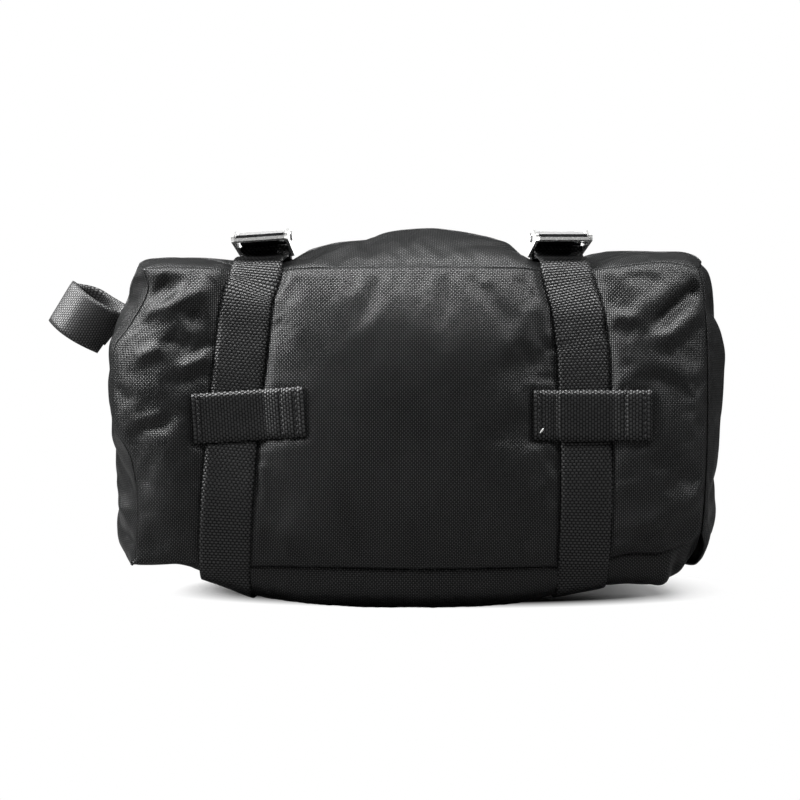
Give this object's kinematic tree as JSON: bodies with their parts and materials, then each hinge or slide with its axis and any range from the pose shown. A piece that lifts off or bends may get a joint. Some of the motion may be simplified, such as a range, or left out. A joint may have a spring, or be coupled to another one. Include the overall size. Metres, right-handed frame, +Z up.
{
  "type": "pannier bag",
  "caption": "Soft boxy bag for a bicycle rack: zipped fabric shell, flat rack-side panel, webbing straps in cam buckles, strap keepers and a webbing grab loop on one end.",
  "frame": {"origin": "on the ground, under the middle of the bag", "axes": "+Z up; +X along the bag's length, to the right when looking at the rack side; +Y from the rack side to the outer side"},
  "size_m": [0.3615, 0.1333, 0.2005],
  "materials": {
    "shell_fabric": "matt",
    "foam": "matt",
    "board_plastic": "matt",
    "lining_fabric": "satin",
    "zip_tape": "matt",
    "zip_coil": "satin",
    "zip_metal": "satin",
    "webbing": "satin",
    "thread": "satin",
    "buckle_plating": "polished",
    "lever_coating": "satin",
    "pin_steel": "satin"
  },
  "bodies": {
    "bag": {"back_panel": "shell_fabric", "front_panel": "shell_fabric", "bottom_panel": "shell_fabric", "top_panel_rear": "shell_fabric", "top_panel_front": "shell_fabric", "left_end_panel": "shell_fabric", "right_end_panel": "shell_fabric", "back_foam": "foam", "base_board": "board_plastic", "lining": "lining_fabric", "zipper_tape_rear": "zip_tape", "zipper_tape_front": "zip_tape", "zipper_coil_rear": "zip_coil", "zipper_coil_front": "zip_coil", "zipper_end_stops": "zip_metal", "strap_left": "webbing", "strap_right": "webbing", "keeper_left": "webbing", "keeper_right": "webbing", "end_loop": "webbing", "buckle_tab_left": "webbing", "buckle_tab_right": "webbing", "keeper_stitching": "thread", "tab_stitching": "thread", "buckle_frame_left": "buckle_plating", "buckle_frame_right": "buckle_plating", "lever_pin_left": "pin_steel", "lever_pin_right": "pin_steel", "lever_spring_left": "pin_steel", "lever_spring_right": "pin_steel"},
    "cam_lever_left": {"cam_lever_left": "lever_coating"},
    "cam_lever_right": {"cam_lever_right": "lever_coating"},
    "zip_slider": {"zipper_slider": "zip_metal"},
    "zip_pull": {"zipper_pull_tab": "zip_metal"}
  },
  "joints": [
    {"name": "left_lever", "type": "hinge", "parent": "bag", "child": "cam_lever_left", "pos_m": [-0.07902, -0.0375, 0.19427], "axis": [0.9976, 0.0069, 0.0694], "range_deg": [0, 18], "stiffness_Nm_per_rad": 0.02, "deforming": ["lever_spring_left"]},
    {"name": "right_lever", "type": "hinge", "parent": "bag", "child": "cam_lever_right", "pos_m": [0.0746, -0.0375, 0.19428], "axis": [1, 0, 0], "range_deg": [0, 18], "stiffness_Nm_per_rad": 0.02, "deforming": ["lever_spring_right"]},
    {"name": "zip_slide", "type": "slide", "parent": "bag", "child": "zip_slider", "axis": [1, 0, 0], "range_m": [-0.228, 0]},
    {"name": "pull_flip", "type": "hinge", "parent": "zip_slider", "child": "zip_pull", "pos_m": [0.114, 0.035, 0.19205], "axis": [0, 1, 0], "range_deg": [0, 165]}
  ]
}
